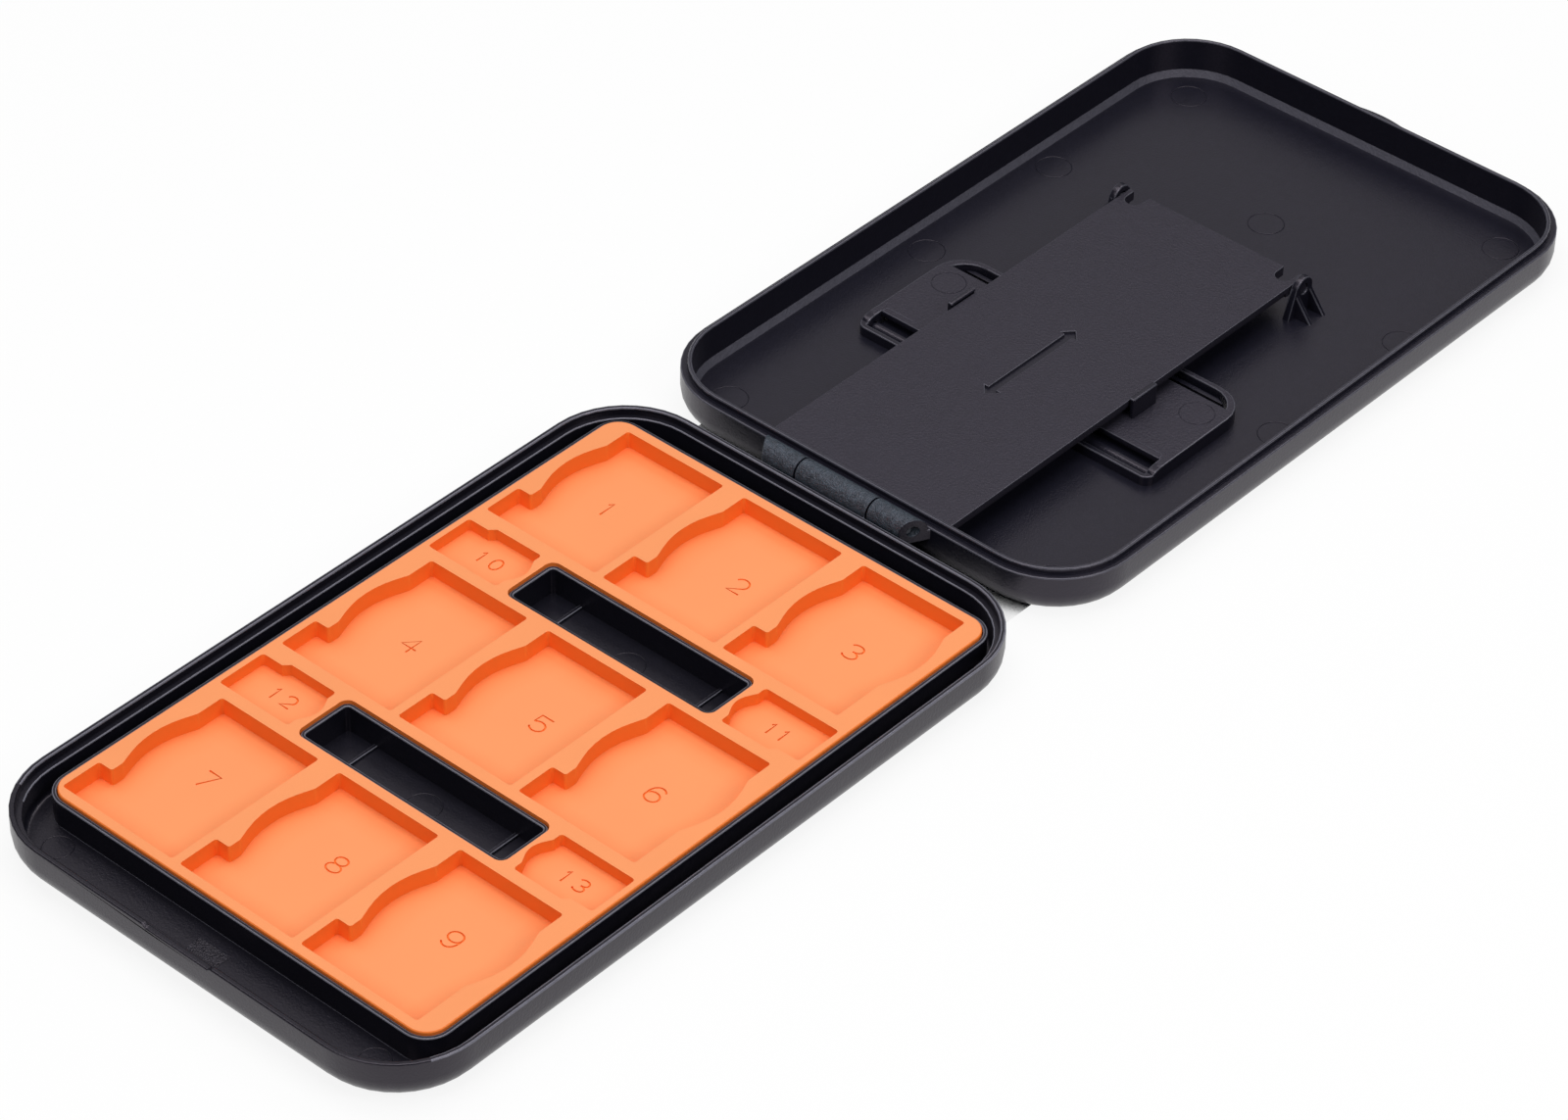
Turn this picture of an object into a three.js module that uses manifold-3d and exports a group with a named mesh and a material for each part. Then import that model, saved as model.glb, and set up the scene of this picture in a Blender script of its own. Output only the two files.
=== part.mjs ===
import * as THREE from "three";
import { mergeVertices, toCreasedNormals } from "three/addons/utils/BufferGeometryUtils.js";
import Module from "manifold-3d";

// A card case made of two equal shallow trays that open flat on one hinge.
// The base tray holds a soft insert with card slots. The lid tray holds a prop plate and a
// fold-out ledge, so the raised lid becomes a stand.
// Millimetres: X runs along the hinge, Y = 0 is the hinge axis with the lid at +Y, Z = 0 is the table.

// Both trays
const TRAY_WIDTH = 95.6;
const TRAY_LENGTH = 150.8;
const TRAY_DEPTH = 8.5;
const TRAY_CORNER_R = 16;
const TRAY_EDGE_R = 4.8;
const TRAY_WALL = 2.05;
const HINGE_TO_TRAY = 2.7;
const RIM = TRAY_DEPTH;

// Base tray: a thin outer lip around a lower inner ledge
const BASE_FLOOR = RIM - 6.05;
const BASE_FOOT_R = 0.9;
const LIP_WIDTH = 0.98;
const LIP_LEDGE = RIM - 1.45;
const LIP_TOP_R = 0.3;
const SNAP_BEAD_ENDS = [-19, 25];
const SNAP_BEAD_REACH = 0.25;
const SNAP_BEAD_TOP = RIM - 0.4;
const SNAP_BEAD_FOOT = RIM - 1.2;
const NOTCH_HALF = 6.8;
const NOTCH_DEPTH = 0.5;
const NOTCH_SLOPE = 0.8;

// Frame that stands on the base floor around the insert, a little lower than the insert's deck
const DECK = RIM - 0.53;
const FRAME_TOP = DECK - 0.5;
const FRAME_HALF = 43.05;
const FRAME_FRONT = -142.6;
const FRAME_BACK = -8.82;
const FRAME_R = 4.9;
const FRAME_WALL = 0.78;

// Wells that take the foot of the prop plate
const WELL_HALF = 22;
const WELL_LENGTH = 9.9;
const WELL_WALL = 0.75;
const WELL_R = 0.8;
const WELL_FLOOR = RIM - 6.3;
const WELL_FIRST_Y = -51.95;
const WELL_RIB_X = 15.7;
const WELL_RIB_WIDTH = 0.7;
const WELL_RIB_HEIGHT = 0.5;

// Card insert
const INSERT_GAP = 0.15;
const INSERT_EASE = 0.2;
const WELL_GAP = 0.2;
const ROW_PITCH = 48;
const SLOT_FIRST_X = -37.61;
const SLOT_FIRST_Y = -11.84;
const SLOT_COLUMN_PITCH = 26.78;
const SLOT_WIDTH = 22.1;
const SLOT_LENGTH = 31.9;
const SLOT_DEPTH = 3.3;
const SLOT_CORNER_R = 0.5;
const SLOT_STEP = 2.92;
const SLOT_STEP_Y = 24.1;
const RECESS_START = 5.3;
const RECESS_END = 21.7;
const RECESS_REACH = 2.97;
const RECESS_R = 16.7;
const RECESS_EASE_R = 1.6;
const LAST_COLUMN = 2;
const CHIP_OUTER_X = 40.8;
const CHIP_INNER_X = 25.1;
const CHIP_WIDTH = 10.9;
const CHIP_NECK = 1.1;
const CHIP_NECK_ENDS = [35.3, 36.4];
const CHIP_DEPTH = 2.3;
const CHIP_CORNER_R = 0.6;
const CHIP_RECESS_HALF = 3.6;
const CHIP_RECESS_REACH = 1.9;
const CHIP_RECESS_R = 4.2;

// Hinge
const BARREL_R = 2.4;
const BARREL_JOINT_X = 8.06;
const BARREL_JOINT_GAP = 0.12;
const BARREL_END_X = 16.7;
const BARREL_END_LEAN = 0.55;
const BARREL_WEB_TOP = RIM - 0.25;
const PIN_R = 0.9;
const PIN_HALF = 15.8;
const PIN_CLEARANCE = 0.08;

// Lid tray: an inner tongue above an outer ledge, and a steep slope from the wall to the floor
const LID_SLOPE_WIDTH = 0.8;
const LID_SLOPE_TOP = RIM - 5.35;
const LID_FLOOR = RIM - 6.67;
const LID_TOP_R = 0.25;
const TONGUE_INSET = 1.27;
const TONGUE_HEIGHT = 1.15;
const TONGUE_TOP_R = 0.3;
const LEDGE_STEP_INSET = 1;
const LEDGE_STEP_HEIGHT = 0.12;
const TAB_HALF = 5.3;
const TAB_REACH = 0.6;
const TAB_LIP = 0.7;
const TAB_HEIGHT = 2.6;

// Housing on the lid floor that covers the fold-out ledge
const HOUSING_HALF = 33.25;
const HOUSING_NEAR = 42.8;
const HOUSING_FAR = 71.5;
const HOUSING_NEAR_R = 2;
const HOUSING_FAR_R = 6.5;
const HOUSING_TOP = RIM - 3.9;
const HOUSING_CEILING = RIM - 5;
const HOUSING_NEAR_RIM = RIM - 4.7;
const HOUSING_SHOULDER = [44.4, 47.4];
const HOUSING_BAY_HALF = 31.6;
const HOUSING_BAY = [43.9, 70.4];
const HOUSING_BAY_R = 5.4;
const HOUSING_ROOF = [47.9, 67.1];

// Fold-out ledge
const LEDGE_PIVOT_Y = 46;
const LEDGE_PIVOT_Z = RIM - 6.6;
const LEDGE_HALF = 31.3;
const LEDGE_FAR = 70.1;
const LEDGE_FAR_R = 5.2;
const LEDGE_BARREL_R = 1.25;
const LEDGE_BOTTOM = 0.2;
const LEDGE_TOP = RIM - 6.3;
const LEDGE_HOOK = [68.2, 69.8];
const LEDGE_HOOK_TOP = RIM - 5;
const LEDGE_HOOK_DRAFT = 0.3;
const LEDGE_STUB_R = 1;
const LEDGE_STUB_X = 32.6;
const LEDGE_SOCKET_X = 32.9;
const STUB_CLEARANCE = 0.1;

// Prop plate
const PLATE_HALF = 20;
const PLATE_NEAR = 5.6;
const PLATE_FAR = 103.8;
const PLATE_TOP = RIM - 0.46;
const PLATE_THICKNESS = 2;
const PLATE_CORNER_R = 1.2;
const PLATE_REBATE = 0.35;
const PLATE_REBATE_TOP = PLATE_TOP - 1.2;
const PLATE_REBATE_END = 98.6;
const PLATE_PIVOT_Y = 102;
const PLATE_PIVOT_Z = RIM - 1.5;
const SPRING_SLOT = [15.5, 18.9];
const SPRING_SLOT_DEPTH = 3.8;
const SPRING_SLOT_R = 1.6;
const PLATE_STUB_R = 0.9;
const PLATE_STUB_X = 21.3;

// Lugs that carry the prop plate, and clips that hold it down
const LUG_X = [20.2, 21.6];
const LUG_R = 2.4;
const LUG_LEAN = 0.3;
const LUG_GUSSET_FOOT_X = 25.1;
const LUG_GUSSET_TOP = RIM - 0.8;
const LUG_GUSSET_WIDTH = 0.9;
const CLIP_X = [20.3, 21.2];
const CLIP_Y = [53.6, 60.2];
const CLIP_TOP = RIM + 0.2;
const CLIP_HOOK_X = 20.08;
const CLIP_HOOK_HEIGHT = 0.4;
const CLIP_CHAMFER = 0.3;

// Mesh resolution, and the margins that let solids merge or cut cleanly
const CORNER_STEPS = 10;
const FILLET_STEPS = 6;
const TOP_STEPS = 3;
const CURVE_STEPS = 3;
const ROUND_STEPS = 32;
const CREASE_ANGLE = 0.5;
const WELD_DISTANCE = 1e-4;
const JOIN = 0.4;
const OVERCUT = 2;

const kernel = await Module();
kernel.setup();

const baseBox = {
  x0: -TRAY_WIDTH / 2,
  x1: TRAY_WIDTH / 2,
  y0: -HINGE_TO_TRAY - TRAY_LENGTH,
  y1: -HINGE_TO_TRAY,
};
const lidBox = { ...baseBox, y0: HINGE_TO_TRAY, y1: HINGE_TO_TRAY + TRAY_LENGTH };
const frameBox = { x0: -FRAME_HALF, x1: FRAME_HALF, y0: FRAME_FRONT, y1: FRAME_BACK };
const wellCentres = [WELL_FIRST_Y, WELL_FIRST_Y - ROW_PITCH];
const barrelSplit = BARREL_JOINT_X - BARREL_JOINT_GAP;
const sides = [-1, 1];

// Turns a closed geometry into a solid that can be joined and cut.
function weld(geometry) {
  const bare = new THREE.BufferGeometry();
  bare.setAttribute("position", geometry.getAttribute("position"));
  bare.setIndex(geometry.getIndex());
  const joined = mergeVertices(bare, WELD_DISTANCE);
  return new kernel.Manifold(new kernel.Mesh({
    numProp: 3,
    vertProperties: new Float32Array(joined.getAttribute("position").array),
    triVerts: new Uint32Array(joined.getIndex().array),
  }));
}

// Points of a rounded rectangle, counter-clockwise, moved inwards by inset.
function roundedRing(box, radius, inset) {
  const r = radius - inset;
  const centres = [
    [box.x1 - radius, box.y0 + radius],
    [box.x1 - radius, box.y1 - radius],
    [box.x0 + radius, box.y1 - radius],
    [box.x0 + radius, box.y0 + radius],
  ];
  return centres.flatMap(([x, y], corner) => Array.from({ length: CORNER_STEPS + 1 }, (_, step) => {
    const angle = (corner - 1 + step / CORNER_STEPS) * Math.PI / 2;
    return new THREE.Vector2(x + r * Math.cos(angle), y + r * Math.sin(angle));
  }));
}

// Lofts a rounded rectangle upwards through a profile of [inset, height] pairs.
function loft(box, radius, profile) {
  const rings = profile.map(([inset]) => roundedRing(box, radius, inset));
  const count = rings[0].length;
  const positions = rings.flatMap((ring, level) => ring.flatMap(({ x, y }) => [x, y, profile[level][1]]));
  const faces = [];
  for (let level = 0; level + 1 < rings.length; level += 1) {
    for (let i = 0; i < count; i += 1) {
      const here = level * count + i;
      const next = level * count + (i + 1) % count;
      faces.push(here, next, next + count, here, next + count, here + count);
    }
  }
  const top = (rings.length - 1) * count;
  THREE.ShapeUtils.triangulateShape(rings[0], []).forEach(([a, b, c]) => faces.push(c, b, a));
  THREE.ShapeUtils.triangulateShape(rings.at(-1), []).forEach(([a, b, c]) => {
    faces.push(top + a, top + b, top + c);
  });
  const geometry = new THREE.BufferGeometry();
  geometry.setAttribute("position", new THREE.Float32BufferAttribute(positions, 3));
  geometry.setIndex(faces);
  return weld(geometry);
}

// Quarter-round start of a loft profile: from a flat bottom up into a vertical wall.
function roundedFoot(inset, low, r) {
  return Array.from({ length: FILLET_STEPS + 1 }, (_, step) => {
    const angle = step / FILLET_STEPS * Math.PI / 2;
    return [inset + r * (1 - Math.sin(angle)), low + r * (1 - Math.cos(angle))];
  });
}

// Quarter-round end of a loft profile: from a vertical wall up onto a flat top. A positive radius
// leans inwards, for the outside of a wall, and a negative one outwards, for its inside.
function roundedTop(inset, high, r) {
  return Array.from({ length: TOP_STEPS + 1 }, (_, step) => {
    const angle = step / TOP_STEPS * Math.PI / 2;
    return [inset + r * (1 - Math.cos(angle)), high - Math.abs(r) * (1 - Math.sin(angle))];
  });
}

// Closed outline through [x, y, radius] corners, each one rounded by an arc of its radius.
function outline(corners) {
  const shape = new THREE.Shape();
  corners.forEach(([x, y, radius = 0], i) => {
    const corner = new THREE.Vector2(x, y);
    const [px, py] = corners.at(i - 1);
    const [nx, ny] = corners[(i + 1) % corners.length];
    const back = new THREE.Vector2(px, py).sub(corner).normalize();
    const ahead = new THREE.Vector2(nx, ny).sub(corner).normalize();
    const half = back.angleTo(ahead) / 2;
    const start = corner.clone().addScaledVector(back, radius / Math.tan(half));
    if (i === 0) {
      shape.moveTo(start.x, start.y);
    } else {
      shape.lineTo(start.x, start.y);
    }
    if (radius > 0) {
      const end = corner.clone().addScaledVector(ahead, radius / Math.tan(half));
      const middle = back.clone().add(ahead).normalize();
      const centre = corner.clone().addScaledVector(middle, radius / Math.sin(half));
      const from = start.sub(centre).angle();
      const to = end.sub(centre).angle();
      shape.absarc(centre.x, centre.y, radius, from, to, back.cross(ahead) > 0);
    }
  });
  return shape;
}

function extrude(shape, depth) {
  return new THREE.ExtrudeGeometry(shape, { depth, bevelEnabled: false, curveSegments: CURVE_STEPS });
}

// Plan outline raised from low to high.
function prism(shape, low, high) {
  return weld(extrude(shape, high - low).translate(0, 0, low));
}

// Side profile, given in Y and Z, run along X between two ends.
function bar(shape, ends) {
  const toX = new THREE.Matrix4().set(0, 0, 1, Math.min(...ends), 1, 0, 0, 0, 0, 1, 0, 0, 0, 0, 0, 1);
  return weld(extrude(shape, Math.abs(ends[1] - ends[0])).applyMatrix4(toX));
}

// End profile, given in X and Z, run along Y between two ends.
function rib(shape, ends) {
  const toY = new THREE.Matrix4().set(1, 0, 0, 0, 0, 0, -1, ends[1], 0, 1, 0, 0, 0, 0, 0, 1);
  return weld(extrude(shape, ends[1] - ends[0]).applyMatrix4(toY));
}

// Round rod along X.
function rod(ends, y, z, r) {
  const geometry = new THREE.CylinderGeometry(r, r, Math.abs(ends[1] - ends[0]), ROUND_STEPS);
  geometry.rotateZ(Math.PI / 2);
  return weld(geometry.translate((ends[0] + ends[1]) / 2, y, z));
}

function centredBox(halfX, y, halfY) {
  return { x0: -halfX, x1: halfX, y0: y - halfY, y1: y + halfY };
}

// Hinge knuckle: a barrel on a flat web that reaches the tray wall on the given side.
function knuckle(side, ends) {
  const wall = side * (HINGE_TO_TRAY + JOIN);
  const shape = new THREE.Shape();
  shape.moveTo(wall, RIM - BARREL_R);
  shape.lineTo(0, RIM - BARREL_R);
  const webAngle = Math.asin((RIM - BARREL_WEB_TOP) / BARREL_R);
  for (let step = 1; step <= ROUND_STEPS; step += 1) {
    const angle = -Math.PI / 2 + step / ROUND_STEPS * (Math.PI * 1.5 + webAngle);
    shape.lineTo(-side * BARREL_R * Math.cos(angle), RIM + BARREL_R * Math.sin(angle));
  }
  shape.lineTo(wall, BARREL_WEB_TOP);
  return bar(shape, ends);
}

// Outer knuckle of the lid: its end leans outwards from the barrel to the tray wall.
function endKnuckle(side) {
  const front = -BARREL_R - JOIN;
  const back = HINGE_TO_TRAY + JOIN;
  const [frontX, backX] = [front, back].map((y) => side * (BARREL_END_X + BARREL_END_LEAN * y));
  const plan = prism(outline([[0, front], [frontX, front], [backX, back], [0, back]]), 0, RIM + OVERCUT * 2);
  const joint = BARREL_JOINT_X + BARREL_JOINT_GAP;
  return knuckle(1, [side * joint, side * (BARREL_END_X + OVERCUT)]).intersect(plan);
}

function snapBead() {
  const face = baseBox.y0 + LIP_WIDTH;
  return bar(outline([
    [face - JOIN, SNAP_BEAD_FOOT],
    [face, SNAP_BEAD_FOOT],
    [face + SNAP_BEAD_REACH, (SNAP_BEAD_FOOT + SNAP_BEAD_TOP) / 2, SNAP_BEAD_REACH / 2],
    [face, SNAP_BEAD_TOP],
    [face - JOIN, SNAP_BEAD_TOP],
  ]), SNAP_BEAD_ENDS);
}

function fingerNotch() {
  return rib(outline([
    [-NOTCH_HALF - NOTCH_SLOPE * 2, RIM + NOTCH_DEPTH],
    [-NOTCH_HALF, RIM - NOTCH_DEPTH, NOTCH_SLOPE],
    [NOTCH_HALF, RIM - NOTCH_DEPTH, NOTCH_SLOPE],
    [NOTCH_HALF + NOTCH_SLOPE * 2, RIM + NOTCH_DEPTH],
  ]), [baseBox.y0 - OVERCUT, baseBox.y0 + TRAY_WALL]);
}

function wellRib(x, y) {
  const top = WELL_FLOOR + WELL_RIB_HEIGHT;
  return rib(outline([
    [x - WELL_RIB_WIDTH / 2, WELL_FLOOR - JOIN],
    [x + WELL_RIB_WIDTH / 2, WELL_FLOOR - JOIN],
    [x + WELL_RIB_WIDTH / 2, top, WELL_RIB_WIDTH / 4],
    [x - WELL_RIB_WIDTH / 2, top, WELL_RIB_WIDTH / 4],
  ]), [y - WELL_LENGTH / 2 - WELL_WALL / 2, y + WELL_LENGTH / 2 + WELL_WALL / 2]);
}

function baseShell() {
  let body = loft(baseBox, TRAY_CORNER_R, [
    ...roundedFoot(0, 0, TRAY_EDGE_R),
    ...roundedTop(0, RIM, LIP_TOP_R),
  ]);
  body = body.subtract(loft(baseBox, TRAY_CORNER_R, [
    ...roundedFoot(TRAY_WALL, BASE_FLOOR, BASE_FOOT_R),
    [TRAY_WALL, LIP_LEDGE],
    [LIP_WIDTH, LIP_LEDGE],
    ...roundedTop(LIP_WIDTH, RIM, -LIP_TOP_R),
    [LIP_WIDTH - LIP_TOP_R, RIM + OVERCUT],
  ]));
  const frame = loft(frameBox, FRAME_R, [[0, BASE_FLOOR - JOIN], [0, FRAME_TOP]]);
  const frameInside = loft(frameBox, FRAME_R, [[FRAME_WALL, BASE_FLOOR - OVERCUT], [FRAME_WALL, RIM]]);
  body = body.add(frame.subtract(frameInside));
  wellCentres.forEach((y) => {
    const outside = centredBox(WELL_HALF + WELL_WALL, y, WELL_LENGTH / 2 + WELL_WALL);
    const profile = [[0, WELL_FLOOR - JOIN], [0, FRAME_TOP]];
    const inside = [[WELL_WALL, WELL_FLOOR], [WELL_WALL, RIM]];
    body = body.add(loft(outside, WELL_R + WELL_WALL, profile));
    body = body.subtract(loft(outside, WELL_R + WELL_WALL, inside));
    sides.forEach((side) => {
      body = body.add(wellRib(side * WELL_RIB_X, y));
    });
  });
  body = body.add(snapBead()).subtract(fingerNotch());
  body = body.add(knuckle(-1, [-barrelSplit, barrelSplit]));
  return body.subtract(rod([-BARREL_END_X, BARREL_END_X], 0, RIM, PIN_R + PIN_CLEARANCE));
}

// Card slot: a finger recess in the left wall, a step that widens the front, and in the last
// column a second finger recess in the right wall. The origin is the slot's back left corner.
function cardSlot(x, y, column) {
  const right = x + SLOT_WIDTH;
  const recess = (RECESS_START + RECESS_END) / 2;
  const rightRecess = [
    [right, y - RECESS_END, RECESS_EASE_R],
    [right + RECESS_REACH, y - recess, RECESS_R],
    [right, y - RECESS_START, RECESS_EASE_R],
  ];
  return outline([
    [x - SLOT_STEP, y - SLOT_LENGTH, SLOT_CORNER_R],
    [right, y - SLOT_LENGTH, SLOT_CORNER_R],
    ...(column === LAST_COLUMN ? rightRecess : []),
    [right, y, SLOT_CORNER_R],
    [x, y, SLOT_CORNER_R],
    [x, y - RECESS_START, RECESS_EASE_R],
    [x - RECESS_REACH, y - recess, RECESS_R],
    [x, y - RECESS_END, RECESS_EASE_R],
    [x, y - SLOT_STEP_Y, SLOT_CORNER_R],
    [x - SLOT_STEP, y - SLOT_STEP_Y, SLOT_CORNER_R],
  ]);
}

// Chip pocket: narrow at its outer end, with a finger recess at the end towards the well.
// The right-hand pocket is the left-hand one turned half round.
function chipPocket(side, y) {
  const half = CHIP_WIDTH / 2;
  const [neckIn, neckOut] = CHIP_NECK_ENDS;
  return outline([
    [CHIP_OUTER_X, -half, CHIP_CORNER_R],
    [CHIP_INNER_X, -half, CHIP_CORNER_R],
    [CHIP_INNER_X, -CHIP_RECESS_HALF, CHIP_CORNER_R],
    [CHIP_INNER_X - CHIP_RECESS_REACH, 0, CHIP_RECESS_R],
    [CHIP_INNER_X, CHIP_RECESS_HALF, CHIP_CORNER_R],
    [CHIP_INNER_X, half, CHIP_CORNER_R],
    [neckIn, half],
    [neckOut, half - CHIP_NECK],
    [CHIP_OUTER_X, half - CHIP_NECK, CHIP_CORNER_R],
  ].map(([px, py, radius]) => [side * px, y - side * py, radius]));
}

function cardInsert() {
  const inset = FRAME_WALL + INSERT_GAP;
  let body = loft(frameBox, FRAME_R, [
    [inset, BASE_FLOOR + INSERT_GAP],
    [inset, DECK - INSERT_EASE],
    [inset + INSERT_EASE, DECK],
  ]);
  const slotFloor = DECK - SLOT_DEPTH;
  for (let row = 0; row < 3; row += 1) {
    for (let column = 0; column <= LAST_COLUMN; column += 1) {
      const x = SLOT_FIRST_X + column * SLOT_COLUMN_PITCH;
      const y = SLOT_FIRST_Y - row * ROW_PITCH;
      body = body.subtract(prism(cardSlot(x, y, column), slotFloor, RIM));
    }
  }
  wellCentres.forEach((y) => {
    const halfX = WELL_HALF + WELL_WALL + WELL_GAP;
    const halfY = WELL_LENGTH / 2 + WELL_WALL + WELL_GAP;
    const window = loft(centredBox(halfX, y, halfY), WELL_R + WELL_WALL + WELL_GAP, [[0, 0], [0, RIM]]);
    body = body.subtract(window);
    sides.forEach((side) => {
      body = body.subtract(prism(chipPocket(side, y), DECK - CHIP_DEPTH, RIM));
    });
  });
  return body;
}

// Finger tab: a shallow bow in plan that tapers down into the tray wall.
function fingerTab() {
  const wall = lidBox.y1;
  const bowR = (TAB_HALF ** 2 + TAB_REACH ** 2) / (2 * TAB_REACH);
  const bowHalf = Math.asin(TAB_HALF / bowR);
  const plan = new THREE.Shape();
  plan.moveTo(-TAB_HALF, wall - JOIN);
  plan.lineTo(TAB_HALF, wall - JOIN);
  for (let step = 0; step <= ROUND_STEPS / 2; step += 1) {
    const angle = bowHalf * (1 - 4 * step / ROUND_STEPS);
    plan.lineTo(bowR * Math.sin(angle), wall + TAB_REACH - bowR * (1 - Math.cos(angle)));
  }
  const profile = bar(outline([
    [wall - JOIN, RIM],
    [wall - JOIN, RIM - TAB_HEIGHT],
    [wall, RIM - TAB_HEIGHT],
    [wall + TAB_REACH, RIM - TAB_LIP, TAB_LIP / 2],
    [wall + TAB_REACH, RIM],
  ]), [-TAB_HALF, TAB_HALF]);
  return profile.intersect(prism(plan, RIM - TAB_HEIGHT, RIM));
}

// Housing: its plan outline cut by a side profile that lowers the near wall and
// rounds the end walls up to the roof.
function housing() {
  const plan = outline([
    [-HOUSING_HALF, HOUSING_NEAR, HOUSING_NEAR_R],
    [HOUSING_HALF, HOUSING_NEAR, HOUSING_NEAR_R],
    [HOUSING_HALF, HOUSING_FAR, HOUSING_FAR_R],
    [-HOUSING_HALF, HOUSING_FAR, HOUSING_FAR_R],
  ]);
  const [shoulderLow, shoulderHigh] = HOUSING_SHOULDER;
  const rise = HOUSING_TOP - HOUSING_NEAR_RIM;
  const profile = new THREE.Shape();
  profile.moveTo(HOUSING_NEAR - OVERCUT, LID_FLOOR - JOIN);
  profile.lineTo(HOUSING_FAR + OVERCUT, LID_FLOOR - JOIN);
  profile.lineTo(HOUSING_FAR + OVERCUT, HOUSING_TOP);
  profile.lineTo(shoulderHigh, HOUSING_TOP);
  profile.absellipse(
    shoulderHigh, HOUSING_NEAR_RIM, shoulderHigh - shoulderLow, rise, Math.PI / 2, Math.PI, false, 0,
  );
  profile.lineTo(HOUSING_NEAR - OVERCUT, HOUSING_NEAR_RIM);
  const span = HOUSING_HALF + OVERCUT;
  return prism(plan, LID_FLOOR - JOIN, RIM).intersect(bar(profile, [-span, span]));
}

// Space inside the housing: open below, and open above on both sides of the roof.
function housingBay() {
  const [near, far] = HOUSING_BAY;
  const plan = outline([
    [-HOUSING_BAY_HALF, near, STUB_CLEARANCE],
    [HOUSING_BAY_HALF, near, STUB_CLEARANCE],
    [HOUSING_BAY_HALF, far, HOUSING_BAY_R],
    [-HOUSING_BAY_HALF, far, HOUSING_BAY_R],
  ]);
  const roof = outline([
    [HOUSING_ROOF[0], HOUSING_CEILING],
    [HOUSING_ROOF[1], HOUSING_CEILING],
    [HOUSING_ROOF[1], RIM + OVERCUT],
    [HOUSING_ROOF[0], RIM + OVERCUT],
  ]);
  return prism(plan, -OVERCUT, RIM).subtract(bar(roof, [-HOUSING_HALF, HOUSING_HALF]));
}

// Lug: a round-topped ear whose front leans out to its foot, with two gussets on its outer side.
function lug(side) {
  const rise = PLATE_PIVOT_Z + LUG_R * Math.sin(LUG_LEAN) - (LID_FLOOR - JOIN);
  const frontFoot = LUG_R * Math.cos(LUG_LEAN) + rise * Math.tan(LUG_LEAN);
  const ear = new THREE.Shape();
  ear.moveTo(PLATE_PIVOT_Y - frontFoot, LID_FLOOR - JOIN);
  ear.lineTo(PLATE_PIVOT_Y + LUG_R, LID_FLOOR - JOIN);
  for (let step = 0; step <= ROUND_STEPS / 2; step += 1) {
    const angle = step / (ROUND_STEPS / 2) * (Math.PI - LUG_LEAN);
    ear.lineTo(PLATE_PIVOT_Y + LUG_R * Math.cos(angle), PLATE_PIVOT_Z + LUG_R * Math.sin(angle));
  }
  const gusset = outline([
    [side * (LUG_X[0] + JOIN), LID_FLOOR - JOIN],
    [side * LUG_GUSSET_FOOT_X, LID_FLOOR - JOIN],
    [side * LUG_GUSSET_FOOT_X, LID_FLOOR],
    [side * (LUG_X[0] + JOIN), LUG_GUSSET_TOP],
  ]);
  const first = PLATE_PIVOT_Y - LUG_R;
  const second = PLATE_PIVOT_Y + LUG_R - LUG_GUSSET_WIDTH;
  let body = bar(ear, LUG_X.map((x) => side * x));
  [first, second].forEach((y) => {
    body = body.add(rib(gusset, [y, y + LUG_GUSSET_WIDTH]));
  });
  return body;
}

function clip(side) {
  const [inner, outer] = CLIP_X;
  return rib(outline([
    [inner, HOUSING_TOP - JOIN],
    [outer, HOUSING_TOP - JOIN],
    [outer, CLIP_TOP, CLIP_CHAMFER],
    [inner, CLIP_TOP],
    [CLIP_HOOK_X, CLIP_TOP - CLIP_HOOK_HEIGHT / 2],
    [CLIP_HOOK_X, CLIP_TOP - CLIP_HOOK_HEIGHT],
    [inner, CLIP_TOP - CLIP_HOOK_HEIGHT - (inner - CLIP_HOOK_X)],
  ].map(([x, z, radius]) => [side * x, z, radius])), CLIP_Y);
}

function lidShell() {
  let body = loft(lidBox, TRAY_CORNER_R, [
    ...roundedFoot(0, 0, TRAY_EDGE_R),
    ...roundedTop(0, RIM, LID_TOP_R),
    [LEDGE_STEP_INSET, RIM],
    [LEDGE_STEP_INSET, RIM + LEDGE_STEP_HEIGHT],
    [TONGUE_INSET, RIM + LEDGE_STEP_HEIGHT],
    ...roundedTop(TONGUE_INSET, RIM + TONGUE_HEIGHT, TONGUE_TOP_R),
  ]);
  body = body.subtract(loft(lidBox, TRAY_CORNER_R, [
    [TRAY_WALL + LID_SLOPE_WIDTH, LID_FLOOR],
    [TRAY_WALL, LID_SLOPE_TOP],
    ...roundedTop(TRAY_WALL, RIM + TONGUE_HEIGHT, -TONGUE_TOP_R),
    [TRAY_WALL - TONGUE_TOP_R, RIM + OVERCUT],
  ]));
  body = body.add(housing()).subtract(housingBay()).add(fingerTab());
  sides.forEach((side) => {
    const socket = [side * LEDGE_HALF, side * LEDGE_SOCKET_X];
    body = body.add(lug(side)).add(clip(side)).add(endKnuckle(side));
    body = body.subtract(rod(socket, LEDGE_PIVOT_Y, LEDGE_PIVOT_Z, LEDGE_STUB_R + STUB_CLEARANCE));
  });
  const plateBore = [-LUG_X[1] - JOIN, LUG_X[1] + JOIN];
  body = body.subtract(rod(plateBore, PLATE_PIVOT_Y, PLATE_PIVOT_Z, PLATE_STUB_R + STUB_CLEARANCE));
  const pinBore = [-BARREL_END_X - OVERCUT, BARREL_END_X + OVERCUT];
  return body.subtract(rod(pinBore, 0, RIM, PIN_R + PIN_CLEARANCE));
}

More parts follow.
